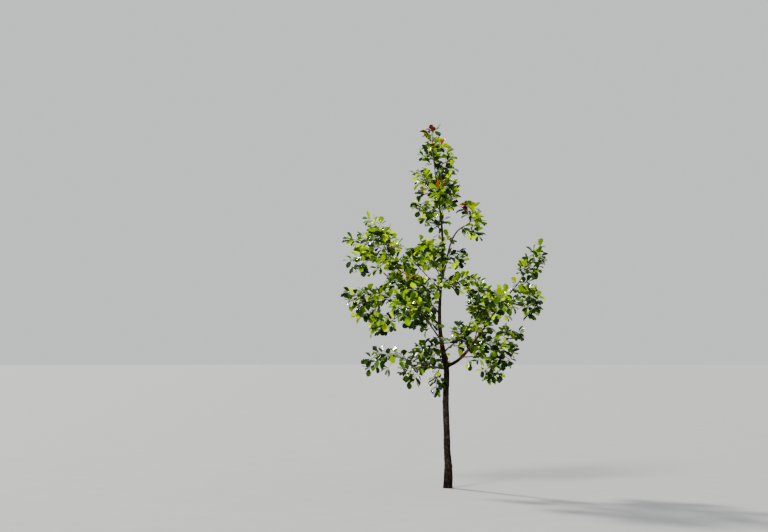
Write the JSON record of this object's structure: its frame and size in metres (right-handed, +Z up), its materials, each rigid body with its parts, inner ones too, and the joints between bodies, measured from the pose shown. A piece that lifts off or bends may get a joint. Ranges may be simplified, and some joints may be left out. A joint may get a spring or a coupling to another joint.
{
  "type": "young oak tree",
  "caption": "Young planted oak: slim trunk with a root flare and a kink, a second stem beside the leader, tapering boughs on all sides and open masses of lobed leaves.",
  "frame": {"origin": "middle of the flat cut where the trunk meets the level ground", "axes": "+Z up the trunk, +X to the right and +Y away from the side that the picture shows"},
  "size_m": [1.717, 1.2517, 2.9879],
  "materials": {
    "bark": "rough grey-brown bark",
    "foliage": "satin green leaf",
    "foliage_turning": "satin leaf in first autumn colour"
  },
  "bodies": {
    "root": {"trunk": "bark", "right_bough": "bark", "right_hang_bough": "bark", "right_low_bough": "bark", "right_fore_bough": "bark", "right_rear_bough": "bark", "right_far_bough": "bark", "left_low_bough": "bark", "left_far_low_bough": "bark", "left_mid_bough": "bark", "left_mid_fore_bough": "bark", "left_drop_bough": "bark", "left_up_bough": "bark", "left_far_up_bough": "bark", "left_far_bough": "bark", "second_stem": "bark", "fore_bough": "bark", "rear_right_bough": "bark", "rear_left_bough": "bark", "fore_up_bough": "bark", "rear_up_bough": "bark", "right_top_leaves": "foliage", "right_hang_leaves": "foliage", "right_under_leaves": "foliage", "right_low_leaves": "foliage", "right_inner_leaves": "foliage", "right_fore_leaves": "foliage", "right_rear_leaves": "foliage", "right_far_leaves": "foliage", "right_mid_leaves": "foliage", "right_up_leaves": "foliage", "left_low_leaves": "foliage", "left_hang_leaves": "foliage", "left_far_low_leaves": "foliage", "left_fore_low_leaves": "foliage", "left_rear_low_leaves": "foliage", "left_mid_leaves": "foliage", "left_mid_fore_leaves": "foliage", "left_inner_leaves": "foliage", "left_drop_leaves": "foliage", "left_up_low_leaves": "foliage", "left_top_leaves": "foliage", "left_far_up_leaves": "foliage", "left_far_leaves": "foliage", "left_up_inner_leaves": "foliage", "second_top_leaves": "foliage", "second_low_leaves": "foliage", "second_side_leaves": "foliage", "fore_leaves": "foliage", "rear_right_leaves": "foliage", "rear_left_leaves": "foliage", "fore_up_leaves": "foliage", "rear_up_leaves": "foliage", "leader_left_leaves": "foliage", "crown_fore_leaves": "foliage", "crown_right_leaves": "foliage", "crown_rear_leaves": "foliage", "crown_left_leaves": "foliage", "crown_high_leaves": "foliage", "crown_top_leaves": "foliage_turning"}
  },
  "joints": []
}
